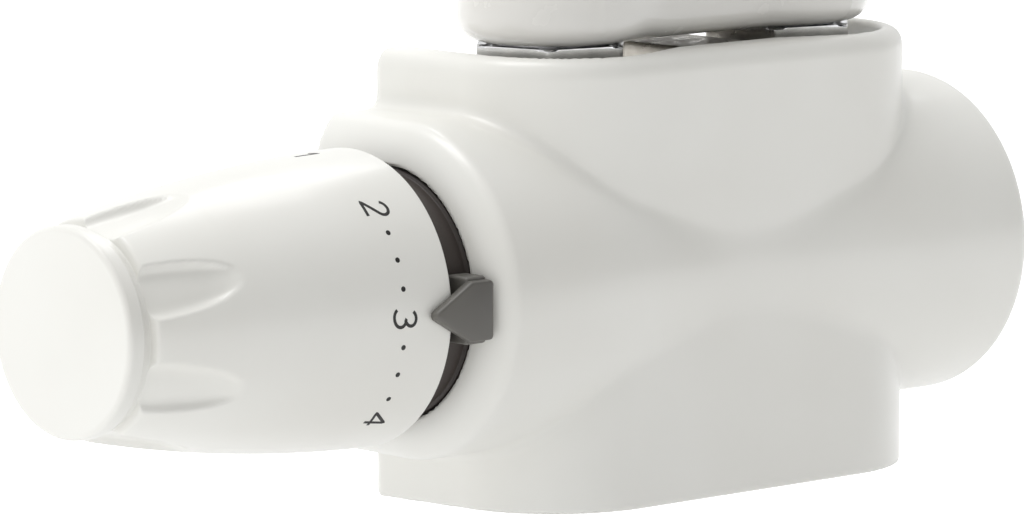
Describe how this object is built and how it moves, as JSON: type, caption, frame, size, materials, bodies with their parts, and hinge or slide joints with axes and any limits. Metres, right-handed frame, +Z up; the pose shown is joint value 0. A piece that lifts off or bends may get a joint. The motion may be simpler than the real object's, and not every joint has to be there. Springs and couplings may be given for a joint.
{
  "type": "radiator connection with thermostatic valve",
  "caption": "Twin radiator connection valve under the end of a radiator column, with a clip-on white cover and a fluted thermostatic head.",
  "frame": {"origin": "middle of the flat top face of the radiator stub, on the web between its two water channels", "axes": "+X along the head's axis away from the thermostatic head, -Y to the room, +Y to the wall, +Z up along the radiator column"},
  "size_m": [0.1825, 0.0605, 0.1225],
  "materials": {
    "enamel": "glossy warm white radiator enamel",
    "white_plastic": "warm white moulded plastic, satin gloss",
    "dark_plastic": "dark brown-black moulded plastic",
    "grey_plastic": "mid-dark grey moulded plastic",
    "chrome": "bright chrome plate",
    "nickel": "nickel-plated brass, satin",
    "brass": "turned brass",
    "steel": "stainless steel, drawn",
    "rubber": "black EPDM rubber",
    "copper": "copper capsule of the sensor, satin"
  },
  "bodies": {
    "valve": {"radiator_stub": "enamel", "radiator_nipple_left": "chrome", "radiator_nipple_right": "chrome", "union_nut_left": "chrome", "union_nut_right": "chrome", "union_gasket_left": "rubber", "union_gasket_right": "rubber", "union_spacer": "nickel", "valve_block": "nickel", "insert_body": "brass", "insert_o_ring": "rubber", "gland_nut": "brass", "return_spring": "steel", "shutoff_bonnet": "brass", "shutoff_o_ring": "rubber", "shutoff_cap": "nickel", "head_base": "dark_plastic", "head_nut": "chrome", "setting_pointer": "grey_plastic"},
    "sensor_carriage": {"sensor_element": "copper", "overload_spring": "steel", "spring_cup": "steel", "push_pin": "white_plastic"},
    "handwheel": {"handwheel": "white_plastic", "end_cap": "white_plastic"},
    "valve_spindle": {"spindle": "steel", "disc_holder": "brass", "valve_disc": "rubber"},
    "shutoff_plug": {"shutoff_cone": "brass"},
    "shutoff_screw": {"shutoff_spindle": "brass"},
    "cover": {"cover": "white_plastic", "cover_clip_left": "steel", "cover_clip_right": "steel"}
  },
  "joints": [
    {"name": "head_travel", "type": "slide", "parent": "valve", "child": "sensor_carriage", "axis": [-1, 0, 0], "range_m": [-0.0018, 0.0012]},
    {"name": "head_turn", "type": "hinge", "parent": "sensor_carriage", "child": "handwheel", "pos_m": [-0.094, 0, -0.087], "axis": [-1, 0, 0], "range_deg": [-135, 90]},
    {"name": "spindle_travel", "type": "slide", "parent": "valve", "child": "valve_spindle", "axis": [-1, 0, 0], "range_m": [-0.0018, 0.0012], "deforming": ["return_spring"]},
    {"name": "shutoff_travel", "type": "slide", "parent": "valve", "child": "shutoff_plug", "axis": [-1, 0, 0], "range_m": [0, 0.002]},
    {"name": "shutoff_turn", "type": "hinge", "parent": "shutoff_plug", "child": "shutoff_screw", "pos_m": [0.037, 0, -0.087], "axis": [-1, 0, 0], "range_deg": [0, 900]},
    {"name": "cover_pull", "type": "slide", "parent": "valve", "child": "cover", "axis": [0, -1, 0], "range_m": [0, 0.07]}
  ],
  "couplings": [
    {"joint": "head_turn", "follows": "head_travel", "rad_per_m": 1309},
    {"joint": "spindle_travel", "follows": "head_travel", "ratio": 1},
    {"joint": "shutoff_turn", "follows": "shutoff_travel", "rad_per_m": 7854}
  ]
}
